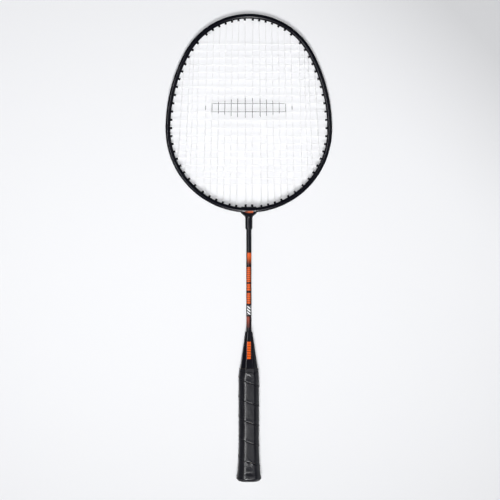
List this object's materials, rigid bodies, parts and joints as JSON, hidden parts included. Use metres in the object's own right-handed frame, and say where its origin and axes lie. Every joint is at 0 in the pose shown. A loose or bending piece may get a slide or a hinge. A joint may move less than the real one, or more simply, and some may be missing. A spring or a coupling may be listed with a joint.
{
  "type": "badminton racket",
  "caption": "Badminton racket with an oval strung head, a moulded throat joint, a thin steel shaft, a tapered cone and a wrapped eight-sided handle.",
  "frame": {"origin": "centre of the butt cap's flat outer face, on the shaft's axis", "axes": "+Y along the shaft from the butt towards the head, +Z square to the string bed, +X across the head"},
  "size_m": [0.2298, 0.6449, 0.0314],
  "materials": {
    "frame_paint": "gloss black enamel on drawn aluminium tube",
    "core_alloy": "bare casting",
    "throat_plastic": "semi-gloss black moulding with an orange bar",
    "pin_steel": "bright wire",
    "grommet_plastic": "matte black nylon",
    "string_nylon": "white nylon string",
    "shaft_paint": "gloss black enamel with orange and white bars",
    "cone_plastic": "semi-gloss black with orange marks",
    "handle_wood": "bare turned wood",
    "wrap_leather": "soft black synthetic leather",
    "band_rubber": "black tape band",
    "cap_plastic": "matte black"
  },
  "bodies": {
    "root": {"head_frame": "frame_paint", "throat_core": "core_alloy", "throat_cover": "throat_plastic", "throat_pin": "pin_steel", "crown_grommets": "grommet_plastic", "left_grommets": "grommet_plastic", "right_grommets": "grommet_plastic", "shared_grommets": "grommet_plastic", "base_grommets": "grommet_plastic", "throat_grommets": "grommet_plastic", "main_string": "string_nylon", "cross_string": "string_nylon", "shaft": "shaft_paint", "cone": "cone_plastic", "handle_core": "handle_wood", "handle_pin": "pin_steel", "grip_wrap": "wrap_leather", "wrap_tack": "pin_steel", "grip_band": "band_rubber", "butt_cap": "cap_plastic", "butt_tacks": "pin_steel"}
  },
  "joints": []
}
